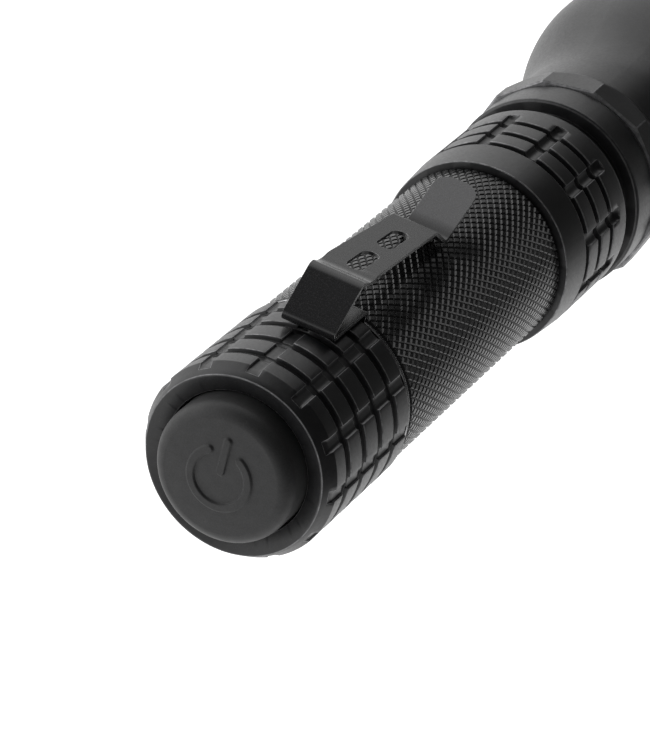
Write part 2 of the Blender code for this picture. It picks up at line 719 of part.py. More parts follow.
def build_optics(mirror, glass, rubber):
    deep = REFLECTOR_FOCUS_Z - REFLECTOR_FRONT - 0.0007
    focal = (math.sqrt(deep**2 + REFLECTOR_OPENING**2) - deep) / 2.0
    hole = math.sqrt(4.0 * focal * (REFLECTOR_FOCUS_Z + focal - REFLECTOR_BACK))
    steps = 6
    radii = [hole + (REFLECTOR_OPENING - hole) * index / steps for index in range(steps + 1)]
    inner = [(radius, reflector_curve(focal, radius)) for radius in radii]
    lip_back = REFLECTOR_FRONT + 0.0012
    outer = [(radius + REFLECTOR_WALL, height) for radius, height in inner if height > lip_back + 0.0010]
    outline = inner + [(REFLECTOR_OPENING, REFLECTOR_FRONT), (LENS_RADIUS, REFLECTOR_FRONT)]
    outline += [(LENS_RADIUS, lip_back), (REFLECTOR_OPENING + REFLECTOR_WALL, lip_back)]
    outline += outer[::-1]
    lathe("reflector", outline, mirror)
    lens = [(0.0, LENS_FRONT), (LENS_RADIUS - EDGE, LENS_FRONT), (LENS_RADIUS, LENS_FRONT + EDGE)]
    lens += [(LENS_RADIUS, LENS_BACK - EDGE), (LENS_RADIUS - EDGE, LENS_BACK), (0.0, LENS_BACK)]
    lathe("lens", lens, glass)
    seal("lens_gasket", LENS_RADIUS - 0.0008, (BEZEL_LIP + LENS_FRONT) / 2, rubber, 0.0008)


def build_bezel(surface):
    bore = LENS_RADIUS + GAP
    top = BELL_FRONT - GAP
    outline = [(BEZEL_OPENING + 0.0004, 0.0), (BELL_RADIUS - BEZEL_CHAMFER, 0.0)]
    outline += [(BELL_RADIUS, BEZEL_CHAMFER), (BELL_RADIUS, top - 0.0003), (BELL_RADIUS - 0.0003, top)]
    outline += [(BEZEL_SPIGOT_RADIUS, top), (BEZEL_SPIGOT_RADIUS, BEZEL_SPIGOT_TOP)]
    outline += [(bore, BEZEL_SPIGOT_TOP), (bore, BEZEL_LIP), (BEZEL_OPENING, BEZEL_LIP)]
    outline += [(BEZEL_OPENING, 0.0004)]
    lathe("bezel_ring", outline, surface)


def main():
    clear_scene()
    anodised = material("black_anodised_aluminium", BLACK, 0.42, 0.7)
    knurled = material("black_anodised_knurl", (0.022, 0.022, 0.023), 0.48, 0.6)
    spring_steel = material("black_spring_steel", (0.035, 0.035, 0.036), 0.38, 0.8)
    rubber = material("black_rubber", (0.020, 0.020, 0.020), 0.62)
    nylon = material("ivory_nylon", (0.62, 0.60, 0.54), 0.5)
    board = material("green_circuit_board", (0.03, 0.16, 0.07), 0.45)
    white_board = material("white_led_board", (0.80, 0.80, 0.78), 0.4)
    brass = material("brass", (0.70, 0.50, 0.20), 0.3, 1.0)
    steel = material("bright_steel", (0.62, 0.62, 0.63), 0.28, 1.0)
    aluminium = material("bare_aluminium", (0.72, 0.72, 0.73), 0.35, 1.0)
    mirror = material("polished_reflector", (0.86, 0.86, 0.87), 0.08, 1.0)
    glass = material("coated_glass", (0.85, 0.90, 0.92), 0.05, 0.0, 0.35)
    ceramic = material("led_ceramic", (0.85, 0.84, 0.80), 0.4)
    silicone = material("led_silicone", (0.90, 0.75, 0.15), 0.2)
    wrap = material("battery_wrap", (0.05, 0.09, 0.22), 0.35)
    card = material("battery_card", (0.85, 0.85, 0.82), 0.8)
    red = material("red_wire", (0.45, 0.02, 0.02), 0.4)
    black_wire = material("black_wire", (0.02, 0.02, 0.02), 0.4)

    build_tail_cap(anodised)
    build_boot(rubber)
    build_switch(nylon, board, brass, steel)
    seal("tail_o_ring", SEAL_CENTRE, at(0.0218), rubber)
    build_clip_base(spring_steel)
    build_clip_arm(spring_steel)
    build_body_tube(knurled)
    build_battery(wrap, card, steel)
    seal("head_o_ring", SEAL_CENTRE, at(0.0750), rubber)
    build_head_body(anodised)
    build_driver(board, brass)
    build_bell(anodised)
    seal("bell_o_ring", SPIGOT_RADIUS + SEAL_RADIUS + 0.00013, at(BELL_REAR + 0.0012), rubber)
    build_light_engine(aluminium, white_board, ceramic, silicone, nylon, steel)
    build_wires(red, black_wire)
    build_optics(mirror, glass, rubber)
    build_bezel(anodised)


main()
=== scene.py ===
"""Looks of a tactical flashlight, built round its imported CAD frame.

The torch stands on its bezel: +Z runs from the lens to the tail switch, and the clip is on the -Y side.
Stations along the barrel are distances forward of the tail rim, in metres.
"""

import json
import math

import bmesh
import bpy
import numpy as np
from mathutils import Matrix, Vector


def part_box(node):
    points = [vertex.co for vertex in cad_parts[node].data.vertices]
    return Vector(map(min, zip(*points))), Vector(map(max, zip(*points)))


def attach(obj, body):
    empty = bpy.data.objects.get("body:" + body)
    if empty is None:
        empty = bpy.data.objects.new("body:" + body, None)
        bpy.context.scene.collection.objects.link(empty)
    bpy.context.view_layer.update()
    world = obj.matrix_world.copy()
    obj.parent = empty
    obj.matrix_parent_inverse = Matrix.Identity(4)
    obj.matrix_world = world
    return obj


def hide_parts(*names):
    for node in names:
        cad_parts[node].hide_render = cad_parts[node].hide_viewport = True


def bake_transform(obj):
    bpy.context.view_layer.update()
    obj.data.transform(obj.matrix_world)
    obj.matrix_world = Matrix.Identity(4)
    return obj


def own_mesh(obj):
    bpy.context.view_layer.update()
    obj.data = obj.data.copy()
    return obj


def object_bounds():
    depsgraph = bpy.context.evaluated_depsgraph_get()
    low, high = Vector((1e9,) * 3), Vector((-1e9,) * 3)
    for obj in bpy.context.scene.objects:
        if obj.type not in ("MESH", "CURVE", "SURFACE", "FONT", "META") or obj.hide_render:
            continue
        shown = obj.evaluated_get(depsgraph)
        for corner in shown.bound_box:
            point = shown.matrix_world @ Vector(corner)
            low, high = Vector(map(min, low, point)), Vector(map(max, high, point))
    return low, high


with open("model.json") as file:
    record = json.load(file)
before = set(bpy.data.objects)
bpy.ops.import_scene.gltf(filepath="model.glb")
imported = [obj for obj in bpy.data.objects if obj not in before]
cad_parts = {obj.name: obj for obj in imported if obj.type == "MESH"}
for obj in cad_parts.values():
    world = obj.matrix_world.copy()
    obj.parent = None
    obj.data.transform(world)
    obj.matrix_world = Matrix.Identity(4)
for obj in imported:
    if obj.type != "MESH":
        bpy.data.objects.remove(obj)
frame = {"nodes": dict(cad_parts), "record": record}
cad_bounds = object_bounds()

GAP = 0.0003
TAIL_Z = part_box("tail_cap")[1].z
CAP_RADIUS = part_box("tail_cap")[1].x
TUBE_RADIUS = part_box("body_tube")[1].x
BELL_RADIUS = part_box("bell_housing")[1].x
BELL_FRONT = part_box("bell_housing")[0].z
BELL_REAR_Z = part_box("bell_housing")[1].z
LENS_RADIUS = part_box("lens")[1].x
LENS_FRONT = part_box("lens")[0].z
LENS_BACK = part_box("lens")[1].z
REFLECTOR_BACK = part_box("reflector")[1].z
DOME_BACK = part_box("led_dome")[1].z
DOME_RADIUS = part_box("led_dome")[1].x
BOOT_CROWN_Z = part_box("switch_boot")[1].z

NECK_RADIUS = 0.0107
NECK_BORE = 0.0110
TUBE_BORE = 0.0096
SEAL_SEAT = 0.01183
SEAL_CENTRE = 0.01138
SEAL_RADIUS = 0.00035
THREAD_PITCH = 0.00125


def at(distance):
    """Height of a station that is measured forward from the tail rim."""
    return TAIL_Z - distance


def around(angle, radius=1.0):
    """A point at this angle in degrees from the clip side, turning towards -X."""
    turn = math.radians(angle)
    return Vector((-radius * math.sin(turn), -radius * math.cos(turn), 0.0))


# Meshes


def link_mesh(name, mesh, surface):
    mesh.materials.append(surface)
    obj = bpy.data.objects.new(name, mesh)
    bpy.context.scene.collection.objects.link(obj)
    return obj


def from_bmesh(name, bm, surface, sharp=180.0, smooth=True):
    """Turns a finished bmesh into an object with one material."""
    bmesh.ops.remove_doubles(bm, verts=bm.verts, dist=2e-7)
    bmesh.ops.dissolve_degenerate(bm, dist=1e-7, edges=bm.edges)
    loose = [edge for edge in bm.edges if not edge.link_faces]
    bmesh.ops.delete(bm, geom=loose, context="EDGES")
    bmesh.ops.recalc_face_normals(bm, faces=bm.faces)
    mesh = bpy.data.meshes.new(name)
    bm.to_mesh(mesh)
    bm.free()
    if smooth:
        for polygon in mesh.polygons:
            polygon.use_smooth = True
        if sharp < 180.0:
            mesh.set_sharp_from_angle(angle=math.radians(sharp))
    return link_mesh(name, mesh, surface)


def from_grid(name, points, surface, sharp=180.0):
    """A closed skin over rows (along the section) and columns (round the axis) of points."""
    rows, columns = points.shape[:2]
    index = np.arange(rows * columns).reshape(rows, columns)
    beside = np.roll(index, -1, 1)
    faces = np.stack([index, beside, np.roll(beside, -1, 0), np.roll(index, -1, 0)], -1)
    mesh = bpy.data.meshes.new(name)
    mesh.from_pydata(points.reshape(-1, 3).tolist(), [], faces.reshape(-1, 4).tolist())
    bm = bmesh.new()
    bm.from_mesh(mesh)
    bpy.data.meshes.remove(mesh)
    obj = from_bmesh(name, bm, surface, sharp)
    return weigh_normals(mark_wear_and_highlight(obj))


def mark_wear_and_highlight(obj):
    """Stores how far each face stands out from its neighbours, which the materials use for pale edges that are
    partly worn bare metal and partly painted edge highlights.
    """
    mesh = obj.data
    count = len(mesh.polygons)
    centres = np.empty(count * 3)
    normals = np.empty(count * 3)
    corners = np.empty(count, dtype=int)
    edges = np.empty(len(mesh.loops), dtype=int)
    mesh.polygons.foreach_get("center", centres)
    mesh.polygons.foreach_get("normal", normals)
    mesh.polygons.foreach_get("loop_total", corners)
    mesh.loops.foreach_get("edge_index", edges)
    centres = centres.reshape(-1, 3)
    normals = normals.reshape(-1, 3)
    owners = np.repeat(np.arange(count), corners)
    order = np.argsort(edges, kind="stable")
    shared = edges[order][1:] == edges[order][:-1]
    first = owners[order][:-1][shared]
    second = owners[order][1:][shared]
    gap = centres[second] - centres[first]
    gap /= np.maximum(np.linalg.norm(gap, axis=1, keepdims=True), 1e-9)
    wear_and_highlight = np.zeros(count)
    np.maximum.at(wear_and_highlight, first, -(gap * normals[first]).sum(1))
    np.maximum.at(wear_and_highlight, second, (gap * normals[second]).sum(1))
    mesh.attributes.new("wear_and_highlight", "FLOAT", "FACE").data.foreach_set("value", wear_and_highlight)
    return obj


def weigh_normals(obj):
    """Keeps large faces flat and lets the narrow edge faces carry the turn."""
    modifier = obj.modifiers.new("weighted_normals", "WEIGHTED_NORMAL")
    modifier.keep_sharp = True
    modifier.weight = 50
    return obj


def bake(obj):
    """Replaces an object's mesh by its evaluated mesh, so that no modifier is left."""
    depsgraph = bpy.context.evaluated_depsgraph_get()
    depsgraph.update()
    mesh = bpy.data.meshes.new_from_object(obj.evaluated_get(depsgraph))
    obj.modifiers.clear()
    obj.data = mesh
    return obj


def arc(centre, radius, start, end, steps):
    """Points along an arc, with angles in degrees from the first axis towards the second."""
    points = []
    for i in range(steps + 1):
        turn = math.radians(start + (end - start) * i / steps)
        points.append((centre[0] + radius * math.cos(turn), centre[1] + radius * math.sin(turn)))
    return points


def soften(line, radius, steps=2, closed=True):
    """Rounds each corner of an outline that turns by more than 20 degrees."""
    points = [Vector(p) for p in line]
    out = []
    for i, p in enumerate(points):
        before = points[i - 1]
        after = points[(i + 1) % len(points)]
        end = not closed and i in (0, len(points) - 1)
        if end or (p.x < 1e-9) or (p - before).length < 1e-9 or (after - p).length < 1e-9:
            out.append(tuple(p))
            continue
        near = (p - before).normalized()
        far = (after - p).normalized()
        if near.dot(far) > math.cos(math.radians(20.0)):
            out.append(tuple(p))
            continue
        reach = min(radius, 0.45 * (p - before).length, 0.45 * (after - p).length)
        start = p - near * reach
        stop = p + far * reach
        for k in range(steps + 1):
            t = k / steps
            q = start * (1 - t) ** 2 + p * 2 * t * (1 - t) + stop * t**2
            out.append(tuple(q))
    return out


def lathe(name, line, surface, sides=128, sharp=180.0):
    """Spins a closed outline of (radius, height) points about the Z axis."""
    turns = np.linspace(0.0, 2.0 * math.pi, sides, endpoint=False)
    line = np.array(line)
    points = np.empty((len(line), sides, 3))
    points[..., 0] = line[:, None, 0] * np.cos(turns)
    points[..., 1] = line[:, None, 0] * np.sin(turns)
    points[..., 2] = line[:, None, 1]
    return from_grid(name, points, surface, sharp)


def slotted(name, line, surface, phase, half, floor, edge=0.00009, inside=6, land=9):
    """Spins an outline and cuts twelve axial slots into it as it goes.

    floor(across, height) is a slot's floor, as a distance from the axis; half is half the slot's width.
    """
    reach = CAP_RADIUS
    spans = [(-half - edge, "land"), (-half, "edge"), (-half, "floor")]
    for k in range(1, inside):
        spans.append((-half + 2.0 * half * k / inside, "floor"))
    spans += [(half, "floor"), (half, "edge"), (half + edge, "land")]
    first = math.degrees(math.asin((half + edge) / reach))
    columns = []
    for slot in range(12):
        middle = phase + 30.0 * slot
        columns += [(middle, across, kind) for across, kind in spans]
        for k in range(1, land):
            columns.append((middle + first + (30.0 - 2.0 * first) * k / land, None, "land"))
    points = np.empty((len(line), len(columns), 3))
    for i, (radius, height) in enumerate(line):
        for j, (middle, across, kind) in enumerate(columns):
            if across is None:
                place = around(middle, radius)
            else:
                top = math.sqrt(radius**2 - across**2)
                bottom = min(top, floor(across, height))
                out = {"land": top, "edge": max(top - edge, bottom), "floor": bottom}[kind]
                turn = math.radians(middle)
                outward = Vector((-math.sin(turn), -math.cos(turn), 0.0))
                beside = Vector((-math.cos(turn), math.sin(turn), 0.0))
                place = outward * out + beside * across
            points[i, j] = (place.x, place.y, height)
    return from_grid(name, points, surface)


def ring_grooves(radius, floor, start, pitch, width, count):
    """Outline points of ring grooves with slightly leaning walls, from the tail side forward."""
    lean = 0.00006
    points = []
    for index in range(count):
        rear = at(start + index * pitch)
        front = rear - width
        points += [(radius, rear), (floor, rear - lean), (floor, front + lean), (radius, front)]
    return points


# Node materials


class Graph:
    """Builds one node material, or the world's nodes, with few words."""

    def __init__(self, name, data=None):
        self.made = data or bpy.data.materials.new(name)
        self.made.use_nodes = True
        self.tree = self.made.node_tree
        self.main = self.tree.nodes.get("Principled BSDF")
        self.place = self.add("ShaderNodeTexCoord").outputs["Generated" if data else "Object"]

    def add(self, kind, inputs=None, **settings):
        node = self.tree.nodes.new(kind)
        for key, value in settings.items():
            setattr(node, key, value)
        self.feed(node, inputs or {})
        return node

    def feed(self, node, inputs):
        for key, value in inputs.items():
            socket = node.inputs[key]
            if isinstance(value, bpy.types.NodeSocket):
                self.tree.links.new(value, socket)
            else:
                socket.default_value = value

    def stretch(self, scale):
        return self.add("ShaderNodeMapping", {"Vector": self.place, "Scale": scale}).outputs["Vector"]

    def noise(self, scale, detail=2.0, rough=0.5, vector=None):
        inputs = {"Vector": vector or self.place, "Scale": scale, "Detail": detail, "Roughness": rough}
        return self.add("ShaderNodeTexNoise", inputs).outputs["Fac"]

    def spread(self, value, low, high, to_low, to_high, kind="LINEAR"):
        """Maps a value's range from low..high to to_low..to_high, clamped."""
        inputs = {"Value": value, "From Min": low, "From Max": high, "To Min": to_low, "To Max": to_high}
        return self.add("ShaderNodeMapRange", inputs, interpolation_type=kind).outputs["Result"]

    def along(self, direction):
        """How far the place or direction goes along a given direction."""
        inputs = {0: self.place, 1: tuple(direction)}
        return self.add("ShaderNodeVectorMath", inputs, operation="DOT_PRODUCT").outputs["Value"]

    def panel(self, direction, inner, outer, power):
        """A round soft light in the sky, between two angles in degrees from its middle."""
        near = self.along(direction.normalized())
        rim = (math.cos(math.radians(outer)), math.cos(math.radians(inner)))
        return self.spread(near, rim[0], rim[1], 0.0, power, "SMOOTHSTEP")

    def maths(self, operation, first, second=0.0):
        node = self.add("ShaderNodeMath", {0: first, 1: second}, operation=operation)
        return node.outputs[0]

    def mix(self, share, first, second):
        node = self.add("ShaderNodeMix", data_type="RGBA")
        sockets = [s for s in node.inputs if s.type == "RGBA"]
        self.feed(node, {0: share})
        for socket, value in zip(sockets, (first, second)):
            if isinstance(value, bpy.types.NodeSocket):
                self.tree.links.new(value, socket)
            else:
                socket.default_value = (*value, 1.0)
        return [s for s in node.outputs if s.type == "RGBA"][0]

    def edges(self, low, high):
        """1 on convex edges, 0 on flats."""
        point = self.add("ShaderNodeNewGeometry").outputs["Pointiness"]
        return self.spread(point, low, high, 0.0, 1.0)

    def wear_and_highlight(self, low, high):
        """1 on the narrow faces that round off a convex edge."""
        marked = self.add("ShaderNodeAttribute", attribute_name="wear_and_highlight").outputs["Fac"]
        return self.spread(marked, low, high, 0.0, 1.0)

    def bump(self, height, distance, strength=1.0, after=None):
        inputs = {"Height": height, "Distance": distance, "Strength": strength}
        if after:
            inputs["Normal"] = after
        return self.add("ShaderNodeBump", inputs).outputs["Normal"]

    def principled(self, **inputs):
        self.feed(self.main, {key.replace("_", " "): value for key, value in inputs.items()})
        return self.made


def anodised(name, dark, light, rough_low, rough_high, grain=6e-6, edge_wear_and_highlight_share=0.5, knurled=False):
    """Bead-blasted aluminium with a black hard-anodised skin."""
    g = Graph(name)
    cloud = g.noise(420.0, 3.0)
    speck = g.noise(7000.0, 2.0, 0.6)
    colour = g.mix(g.spread(cloud, 0.35, 0.65, 0.0, 1.0), dark, light)
    glint = g.spread(speck, 0.60, 0.72, 0.0, 1.0)
    colour = g.mix(g.maths("MULTIPLY", glint, 0.30), colour, (0.075, 0.075, 0.078))
    # Pale metallic edges: partly worn bare metal, partly painted highlights along the convex edges (pointiness
    # on the knurl, the stored edge measure elsewhere).
    convex = g.edges(0.54, 0.62) if knurled else g.wear_and_highlight(0.16, 0.34)
    edge = g.maths("MULTIPLY", convex, g.spread(g.noise(900.0, 4.0, 0.7), 0.35, 0.65, 0.35, 1.0))
    edge = g.maths("MULTIPLY", edge, edge_wear_and_highlight_share)
    colour = g.mix(edge, colour, (0.42, 0.42, 0.43))
    rough = g.spread(g.noise(2600.0, 3.0), 0.3, 0.7, rough_low, rough_high)
    normal = g.bump(speck, grain)
    normal = g.bump(g.noise(1500.0, 2.0), grain * 0.7, 1.0, normal)
    return g.principled(
        Base_Color=colour, Roughness=rough, Metallic=edge, IOR=1.55, Normal=normal
    )


def spring_steel(name):
    """Spring steel with a satin black coating, drawn along the strip, with pale edges and a pale tongue that
    are partly rubbed wear and partly painted highlight.
    """
    g = Graph(name)
    drawn = g.noise(1.0, 3.0, 0.6, g.stretch((9000.0, 9000.0, 500.0)))
    grain = g.noise(11000.0, 2.0)
    colour = g.mix(g.spread(drawn, 0.3, 0.7, 0.0, 1.0), (0.016, 0.016, 0.017), (0.028, 0.028, 0.029))
    # Pale metallic edges: partly worn bare steel, partly painted edge highlights.
    edge = g.maths("MULTIPLY", g.wear_and_highlight(0.16, 0.34), g.spread(g.noise(700.0, 3.0), 0.3, 0.6, 0.45, 0.9))
    height = g.add("ShaderNodeSeparateXYZ", {"Vector": g.place}).outputs["Z"]
    # Pale tongue: partly rubbed wear, partly a painted highlight on the tongue.
    tongue_wear_and_highlight = g.spread(height, at(0.0520), at(0.0505), 0.22, 0.0)
    edge = g.maths("MAXIMUM", edge, g.maths("MULTIPLY", tongue_wear_and_highlight, g.spread(grain, 0.4, 0.6, 0.6, 1.0)))
    colour = g.mix(edge, colour, (0.62, 0.62, 0.63))
    rough = g.spread(drawn, 0.3, 0.7, 0.22, 0.30)
    normal = g.bump(drawn, 2.5e-6)
    normal = g.bump(grain, 3e-6, 1.0, normal)
    return g.principled(Base_Color=colour, Roughness=rough, Metallic=edge, IOR=1.5, Normal=normal)


def rubber(name, base=(0.017, 0.017, 0.017), pale=(0.028, 0.028, 0.029), rough=0.52):
    """Moulded silicone rubber with a fine spark-eroded texture and a little dust."""
    g = Graph(name)
    grain = g.noise(5200.0, 3.0, 0.6)
    dust = g.spread(g.noise(1300.0, 5.0, 0.75), 0.62, 0.78, 0.0, 0.35)
    colour = g.mix(g.spread(grain, 0.3, 0.7, 0.0, 1.0), base, pale)
    colour = g.mix(dust, colour, (0.06, 0.058, 0.055))
    spread = g.spread(g.noise(700.0, 2.0), 0.3, 0.7, rough - 0.05, rough + 0.06)
    normal = g.bump(grain, 8e-6)
    return g.principled(
        Base_Color=colour, Roughness=spread, IOR=1.45, Normal=normal, Sheen_Weight=0.10
    )


def turned(name, dark, light, rough, ring=2.5e-6):
    """Bare metal with the fine rings that a lathe leaves."""
    g = Graph(name)
    lines = g.noise(1.0, 4.0, 0.7, g.stretch((60.0, 60.0, 16000.0)))
    stain = g.spread(g.noise(500.0, 4.0), 0.35, 0.7, 0.0, 1.0)
    colour = g.mix(stain, light, dark)
    spread = g.spread(lines, 0.3, 0.7, rough - 0.06, rough + 0.08)
    return g.principled(
        Base_Color=colour, Roughness=spread, Metallic=1.0, Normal=g.bump(lines, ring)
    )


def moulded(name, dark, light, rough, grain_scale=3500.0):
    """Moulded or printed plastic, with a fine grain and slight colour drift."""
    g = Graph(name)
    grain = g.noise(grain_scale, 3.0, 0.6)
    drift = g.spread(g.noise(350.0, 3.0), 0.35, 0.65, 0.0, 1.0)
    colour = g.mix(drift, dark, light)
    spread = g.spread(grain, 0.3, 0.7, rough - 0.05, rough + 0.07)
    return g.principled(
        Base_Color=colour, Roughness=spread, Normal=g.bump(grain, 0.012 / grain_scale)
    )


def mirror(name):
    """Vacuum-metallised reflector with a faint orange peel."""
    g = Graph(name)
    peel = g.noise(900.0, 3.0)
    colour = g.mix(g.spread(g.noise(250.0, 3.0), 0.3, 0.7, 0.0, 1.0), (0.86, 0.86, 0.87), (0.80, 0.80, 0.82))
    rough = g.spread(peel, 0.3, 0.7, 0.03, 0.08)
    return g.principled(Base_Color=colour, Roughness=rough, Metallic=1.0, Normal=g.bump(peel, 3e-6))


def coated_glass(name):
    """Clear glass with a faint anti-reflection tint and a little dust."""
    g = Graph(name)
    dust = g.spread(g.noise(2200.0, 4.0, 0.7), 0.66, 0.8, 0.0, 0.35)
    tint = g.mix(g.noise(60.0, 1.0), (0.93, 0.97, 1.0), (0.97, 0.95, 1.0))
    rough = g.maths("ADD", dust, 0.01)
    return g.principled(Base_Color=tint, Roughness=rough, Transmission_Weight=1.0, IOR=1.5)


def phosphor(name):
    """Clear silicone over a yellow phosphor."""
    g = Graph(name)
    grit = g.noise(9000.0, 2.0)
    colour = g.mix(g.spread(grit, 0.3, 0.7, 0.0, 1.0), (0.90, 0.66, 0.10), (0.95, 0.80, 0.22))
    return g.principled(Base_Color=colour, Roughness=0.12, IOR=1.42, Coat_Weight=0.6, Normal=g.bump(grit, 1e-6))


def circuit_board(name):
    """Solder mask over a woven glass board, with paler tracks."""
    g = Graph(name)
    weave = g.noise(1.0, 2.0, 0.5, g.stretch((2500.0, 2500.0, 300.0)))
    tracks = g.add("ShaderNodeTexBrick", {"Vector": g.place, "Scale": 260.0, "Mortar Size": 0.03})
    colour = g.mix(tracks.outputs["Fac"], (0.012, 0.105, 0.045), (0.03, 0.19, 0.08))
    colour = g.mix(g.spread(weave, 0.4, 0.7, 0.0, 0.4), colour, (0.02, 0.13, 0.06))
    return g.principled(Base_Color=colour, Roughness=0.36, Normal=g.bump(weave, 4e-6))


def make_materials():
    made = {}
    made["black_anodised_aluminium"] = anodised(
        "black_anodised_aluminium", (0.010, 0.010, 0.011), (0.017, 0.017, 0.018), 0.32, 0.42, 6e-6, 0.7
    )
    made["black_anodised_knurl"] = anodised(
        "black_anodised_knurl", (0.009, 0.009, 0.010), (0.015, 0.015, 0.016), 0.22, 0.30, 4e-6, 0.35, True
    )
    made["black_spring_steel"] = spring_steel("black_spring_steel")
    made["black_rubber"] = rubber("black_rubber")
    made["ivory_nylon"] = moulded("ivory_nylon", (0.58, 0.56, 0.50), (0.66, 0.64, 0.58), 0.5)
    made["green_circuit_board"] = circuit_board("green_circuit_board")
    made["white_led_board"] = moulded("white_led_board", (0.74, 0.74, 0.72), (0.84, 0.84, 0.82), 0.4)
    made["brass"] = turned("brass", (0.58, 0.40, 0.15), (0.76, 0.56, 0.24), 0.28)
    made["bright_steel"] = turned("bright_steel", (0.50, 0.50, 0.51), (0.68, 0.68, 0.69), 0.26)
    made["bare_aluminium"] = turned("bare_aluminium", (0.62, 0.62, 0.63), (0.78, 0.78, 0.79), 0.34)
    made["polished_reflector"] = mirror("polished_reflector")
    made["coated_glass"] = coated_glass("coated_glass")
    made["led_ceramic"] = moulded("led_ceramic", (0.80, 0.79, 0.75), (0.88, 0.87, 0.83), 0.4, 9000.0)
    made["led_silicone"] = phosphor("led_silicone")
    made["battery_wrap"] = moulded("battery_wrap", (0.03, 0.06, 0.18), (0.06, 0.11, 0.26), 0.3, 1800.0)
    made["battery_card"] = moulded("battery_card", (0.78, 0.77, 0.73), (0.88, 0.88, 0.85), 0.8, 5000.0)
    made["red_wire"] = moulded("red_wire", (0.38, 0.015, 0.015), (0.50, 0.03, 0.03), 0.38, 6000.0)
    made["black_wire"] = moulded("black_wire", (0.012, 0.012, 0.012), (0.03, 0.03, 0.03), 0.38, 6000.0)
    return made


def dress_cad(surfaces):
    """Every CAD node takes the node material of its slot."""
    for part in frame["record"]["subparts"]:
        obj = frame["nodes"][part["node"]]
        obj.data.materials.clear()
        obj.data.materials.append(surfaces[part["material_slot"]])


def place(obj, body, slot, *nodes):
    """Hides the CAD nodes that the piece stands for and hangs it on the body it rides on. The slot argument is
    not used.
    """
    if nodes:
        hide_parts(*nodes)
    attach(obj, body)
    return obj


# Tail cap

CAP_FRONT = 0.0232
CAP_RIM = 0.0120
CAP_CHAMFER = 0.0020
CAP_FLOOR = 0.01240
CAP_SLOT_FLOOR = 0.01262
CAP_SLOT_HALF = 0.000825
CAP_SLOT_PHASE = 56.2
BOOT_OPENING = 0.00965


def cap_slot_floor(across, height):
    corner = max(abs(across) - (CAP_SLOT_HALF - 0.00014), 0.0)
    return CAP_SLOT_FLOOR + corner * 0.8


def build_tail_cap(surface):
    outline = [(CAP_RIM, TAIL_Z)]
    for station in (0.0007, 0.00078, 0.00083, 0.00088, 0.00094):
        share = station / CAP_CHAMFER
        outline.append((CAP_RIM + (CAP_RADIUS - CAP_RIM) * share, at(station)))
    outline.append((CAP_RADIUS, at(CAP_CHAMFER)))
    outline += ring_grooves(CAP_RADIUS, CAP_FLOOR, 0.0045, 0.0046, 0.0015, 4)
    outline += [(CAP_RADIUS, at(CAP_FRONT - 0.0003)), (CAP_RADIUS - 0.0003, at(CAP_FRONT))]
    outline += [(SEAL_SEAT, at(CAP_FRONT)), (SEAL_SEAT, at(0.0206)), (NECK_BORE, at(0.0206))]
    outline += [(NECK_BORE, at(0.0134)), (0.0106, at(0.0134)), (0.0106, at(0.0028))]
    outline += [(BOOT_OPENING, at(0.0028)), (BOOT_OPENING, at(0.0008)), (CAP_RIM - 0.0002, TAIL_Z)]
    line = soften(outline, 0.00009)
    cap = slotted("tail_cap_shell", line, surface, CAP_SLOT_PHASE, CAP_SLOT_HALF, cap_slot_floor)
    place(cap, "tail_cap", "black_anodised_aluminium", "tail_cap")


# Rubber switch boot

BOOT_RADIUS = 0.00935
BOOT_SHOULDER = 0.0021
BOOT_SIDE = 0.0015
BOOT_CROWN_DROP = 0.00025
MARK_RADIUS = 0.0039
MARK_HALF = 0.00052
MARK_HEIGHT = 0.00030


def power_mark(x, y):
    """Height share of a plain power symbol: an open ring and a bar."""
    radius = math.hypot(x, y)
    angle = abs(math.degrees(math.atan2(x, -y)))
    ring = abs(radius - MARK_RADIUS)
    if angle < 33.0:
        end = around(33.0, MARK_RADIUS)
        ring = min(math.hypot(x - end.x, y - end.y), math.hypot(x + end.x, y - end.y))
    along = min(max(-y, 0.0010), 0.0052)
    bar = math.hypot(x, y + along)
    gap = min(ring, bar) - MARK_HALF
    share = min(max(0.5 - gap / 0.00022, 0.0), 1.0)
    return share * share * (3.0 - 2.0 * share)


def build_boot(surface):
    """A domed rubber cap with a flange under the tail cap's rim and a raised power symbol."""
    flange_top = at(0.0031)
    flange_bottom = at(0.0041)
    inner = BOOT_RADIUS - 0.0016
    rings = 78
    flat = 0.0077
    line = []
    for k in range(rings + 1):
        radius = flat * k / rings
        line.append((radius, BOOT_CROWN_Z - MARK_HEIGHT - BOOT_CROWN_DROP * (radius / flat) ** 3))
    line += arc((BOOT_RADIUS - BOOT_SHOULDER, TAIL_Z + BOOT_SIDE), BOOT_SHOULDER, 76.0, 0.0, 16)
    line += [(BOOT_RADIUS, at(-0.0003)), (BOOT_RADIUS, at(0.0004)), (BOOT_RADIUS, at(0.0018))]
    line += soften(
        [
            (BOOT_RADIUS, flange_top),
            (0.0105, flange_top),
            (0.0105, flange_bottom),
            (inner, flange_bottom),
            (inner, at(0.0020)),
            (inner, at(0.0002)),
            (inner, TAIL_Z + 0.0014),
        ],
        0.00012,
        2,
        False,
    )
    line += [(inner * 0.8, TAIL_Z + 0.0017), (0.0, TAIL_Z + 0.0018)]
    sides = 240
    turns = np.linspace(0.0, 2.0 * math.pi, sides, endpoint=False)
    points = np.empty((len(line), sides, 3))
    for i, (radius, height) in enumerate(line):
        for j, turn in enumerate(turns):
            x = radius * math.cos(turn)
            y = radius * math.sin(turn)
            raised = MARK_HEIGHT * power_mark(x, y) if i <= rings else 0.0
            points[i, j] = (x, y, height + raised)
    boot = from_grid("switch_boot_skin", points, surface)
    bake(boot)
    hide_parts("switch_boot")
    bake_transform(boot)


# Spring under the button

COIL_RADIUS = 0.0044
COIL_WIRE = 0.00025
COIL_TURNS = 3.5


